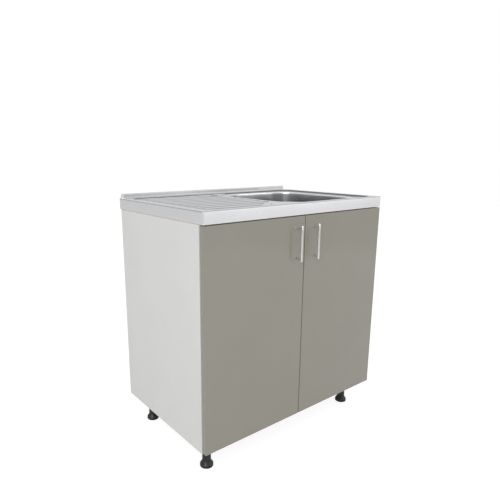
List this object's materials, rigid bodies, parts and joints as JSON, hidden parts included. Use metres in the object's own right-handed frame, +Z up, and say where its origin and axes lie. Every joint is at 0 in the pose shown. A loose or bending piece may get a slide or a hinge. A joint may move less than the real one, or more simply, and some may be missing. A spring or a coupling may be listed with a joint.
{
  "type": "kitchen sink unit",
  "caption": "Two-door kitchen base cabinet on adjustable legs with a lay-on stainless sink: ribbed drainer, deep bowl and lift-out strainer.",
  "frame": {"origin": "on the floor, under the middle of the unit's box", "axes": "+X to the right seen from the front, +Y to the back wall, +Z up"},
  "size_m": [0.8, 0.5394, 0.857],
  "materials": {
    "melamine_board": "fine satin melamine",
    "door_lacquer": "high gloss taupe",
    "sink_steel": "satin stainless",
    "satin_steel": "satin",
    "nickel": "nickel plated",
    "black_plastic": "moulded matt",
    "white_plastic": "moulded satin",
    "rubber": "matt",
    "soft_clear": "clear soft pad"
  },
  "bodies": {
    "cabinet": {"left_side_panel": "melamine_board", "right_side_panel": "melamine_board", "bottom_panel": "melamine_board", "front_rail": "melamine_board", "rear_rail": "melamine_board", "front_left_leg_socket": "black_plastic", "front_right_leg_socket": "black_plastic", "rear_left_leg_socket": "black_plastic", "rear_right_leg_socket": "black_plastic", "left_hinge_arm_upper": "nickel", "left_hinge_plate_upper": "nickel", "left_hinge_arm_lower": "nickel", "left_hinge_plate_lower": "nickel", "right_hinge_arm_upper": "nickel", "right_hinge_plate_upper": "nickel", "right_hinge_arm_lower": "nickel", "right_hinge_plate_lower": "nickel", "sink_top": "sink_steel", "waste_flange": "sink_steel", "waste_gasket": "rubber", "waste_clamp_nut": "white_plastic", "waste_outlet": "white_plastic", "waste_outlet_nut": "white_plastic", "front_left_sink_clip": "nickel", "front_left_clip_screw": "nickel", "front_right_sink_clip": "nickel", "front_right_clip_screw": "nickel", "rear_left_sink_clip": "nickel", "rear_left_clip_screw": "nickel", "rear_right_sink_clip": "nickel", "rear_right_clip_screw": "nickel"},
    "left_leaf": {"left_door": "door_lacquer", "left_handle_bar": "satin_steel", "left_handle_post_upper": "satin_steel", "left_handle_screw_upper": "nickel", "left_door_bumper_upper": "soft_clear", "left_hinge_cup_upper": "nickel", "left_handle_post_lower": "satin_steel", "left_handle_screw_lower": "nickel", "left_door_bumper_lower": "soft_clear", "left_hinge_cup_lower": "nickel"},
    "right_leaf": {"right_door": "door_lacquer", "right_handle_bar": "satin_steel", "right_handle_post_upper": "satin_steel", "right_handle_screw_upper": "nickel", "right_door_bumper_upper": "soft_clear", "right_hinge_cup_upper": "nickel", "right_handle_post_lower": "satin_steel", "right_handle_screw_lower": "nickel", "right_door_bumper_lower": "soft_clear", "right_hinge_cup_lower": "nickel"},
    "front_left_foot_screw": {"front_left_foot": "black_plastic"},
    "front_right_foot_screw": {"front_right_foot": "black_plastic"},
    "rear_left_foot_screw": {"rear_left_foot": "black_plastic"},
    "rear_right_foot_screw": {"rear_right_foot": "black_plastic"},
    "strainer": {"strainer_basket": "satin_steel", "strainer_seal": "rubber", "strainer_knob": "satin_steel"}
  },
  "joints": [
    {"name": "left_door_hinge", "type": "hinge", "parent": "cabinet", "child": "left_leaf", "pos_m": [-0.3917, -0.23475, 0.452], "axis": [0, 0, -1], "range_deg": [0, 95]},
    {"name": "right_door_hinge", "type": "hinge", "parent": "cabinet", "child": "right_leaf", "pos_m": [0.3917, -0.23475, 0.452], "axis": [0, 0, 1], "range_deg": [0, 95]},
    {"name": "front_left_foot_height", "type": "slide", "parent": "cabinet", "child": "front_left_foot_screw", "axis": [0, 0, -1], "range_m": [0, 0.025]},
    {"name": "front_right_foot_height", "type": "slide", "parent": "cabinet", "child": "front_right_foot_screw", "axis": [0, 0, -1], "range_m": [0, 0.025]},
    {"name": "rear_left_foot_height", "type": "slide", "parent": "cabinet", "child": "rear_left_foot_screw", "axis": [0, 0, -1], "range_m": [0, 0.025]},
    {"name": "rear_right_foot_height", "type": "slide", "parent": "cabinet", "child": "rear_right_foot_screw", "axis": [0, 0, -1], "range_m": [0, 0.025]},
    {"name": "strainer_lift", "type": "slide", "parent": "cabinet", "child": "strainer", "axis": [0, 0, 1], "range_m": [0, 0.012]}
  ]
}
